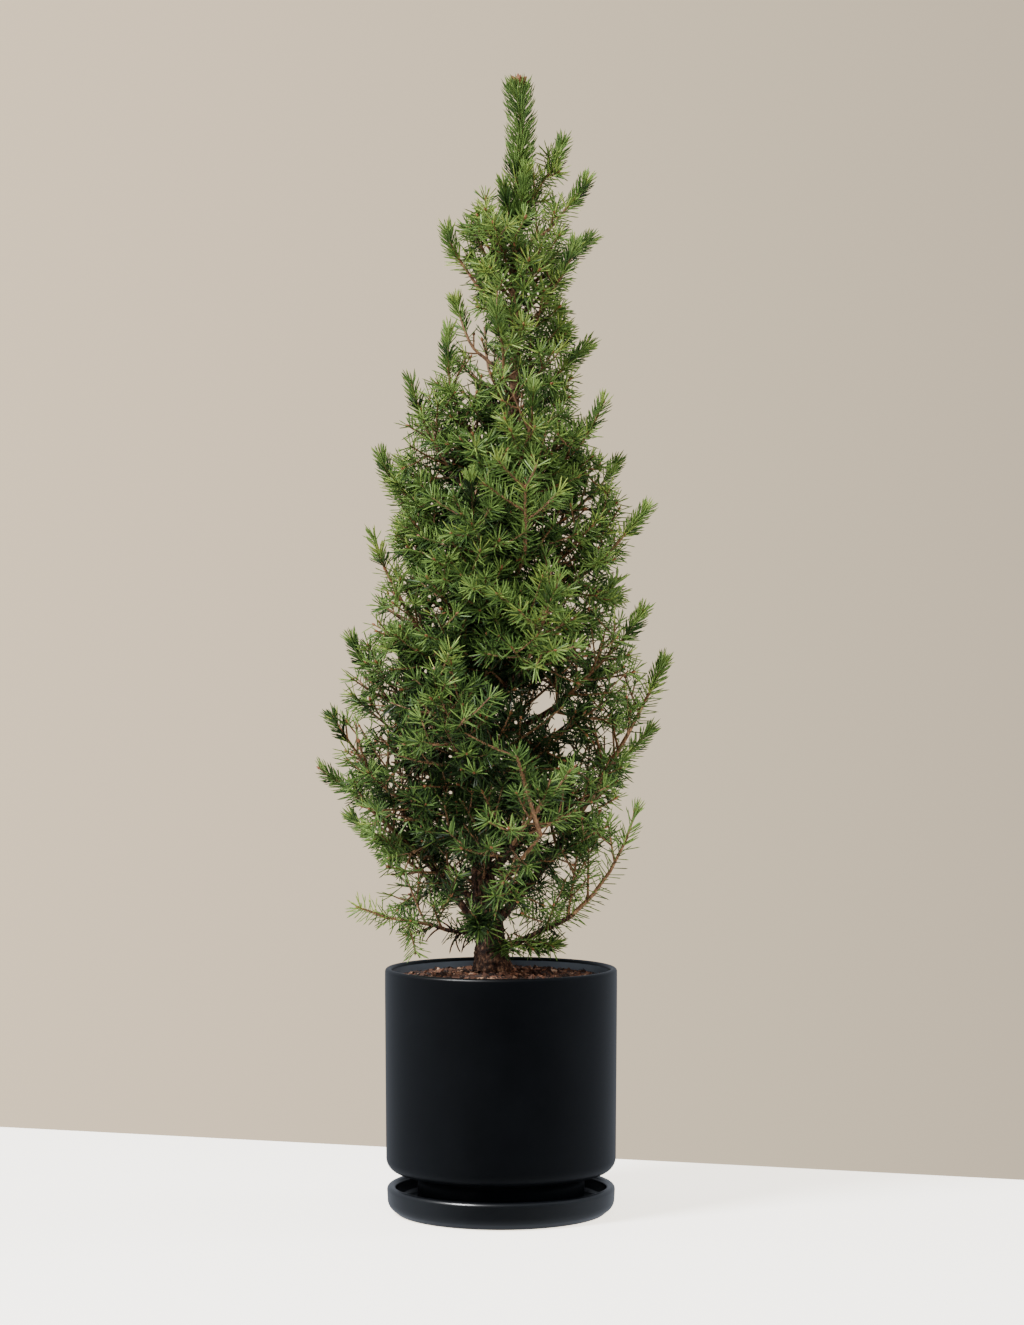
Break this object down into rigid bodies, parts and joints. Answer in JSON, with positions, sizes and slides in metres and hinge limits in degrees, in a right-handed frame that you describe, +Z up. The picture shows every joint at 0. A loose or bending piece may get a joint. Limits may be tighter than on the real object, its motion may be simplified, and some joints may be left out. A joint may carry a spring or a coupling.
{
  "type": "potted dwarf alberta spruce",
  "caption": "Young dwarf spruce with ascending boughs and masses of short needle sprays, in a matt black ceramic cylinder pot on a matching saucer.",
  "frame": {"origin": "centre of the saucer's flat underside", "axes": "+Z up along the trunk, +X to the right and -Y to the front as the picture shows the plant"},
  "size_m": [0.3456, 0.297, 1.079],
  "materials": {
    "glaze": "matt black glaze, fine grain",
    "soil": "loose red-brown potting bark",
    "bark": "rough grey-brown bark",
    "needles": "green needles, yellow-green at the tips"
  },
  "bodies": {
    "root": {"pot": "glaze", "saucer": "glaze", "soil": "soil", "trunk": "bark", "low_left_spur_bough": "bark", "low_left_bough": "bark", "left_inner_bough": "bark", "left_1_bough": "bark", "left_2_bough": "bark", "low_right_bough": "bark", "right_1_bough": "bark", "right_2_bough": "bark", "right_3_bough": "bark", "right_5_bough": "bark", "front_1_bough": "bark", "front_2_bough": "bark", "back_low_bough": "bark", "back_1_bough": "bark", "back_2_bough": "bark", "low_left_spur_needles": "needles", "low_left_needles": "needles", "left_inner_needles": "needles", "left_1_needles": "needles", "left_2_needles": "needles", "left_3_needles": "needles", "left_4_needles": "needles", "left_5_needles": "needles", "left_6_needles": "needles", "left_7_needles": "needles", "left_8_needles": "needles", "low_right_spur_needles": "needles", "low_right_needles": "needles", "right_1_needles": "needles", "right_2_needles": "needles", "right_3_needles": "needles", "right_4_needles": "needles", "right_5_needles": "needles", "right_6_needles": "needles", "right_7_needles": "needles", "right_8_needles": "needles", "right_9_needles": "needles", "right_10_needles": "needles", "right_11_needles": "needles", "right_12_needles": "needles", "front_low_needles": "needles", "front_1_needles": "needles", "front_2_needles": "needles", "front_3_needles": "needles", "front_4_needles": "needles", "front_5_needles": "needles", "front_6_needles": "needles", "back_low_needles": "needles", "back_1_needles": "needles", "back_2_needles": "needles", "back_3_needles": "needles", "back_4_needles": "needles", "back_5_needles": "needles", "back_6_needles": "needles", "leader_needles": "needles"}
  },
  "joints": []
}
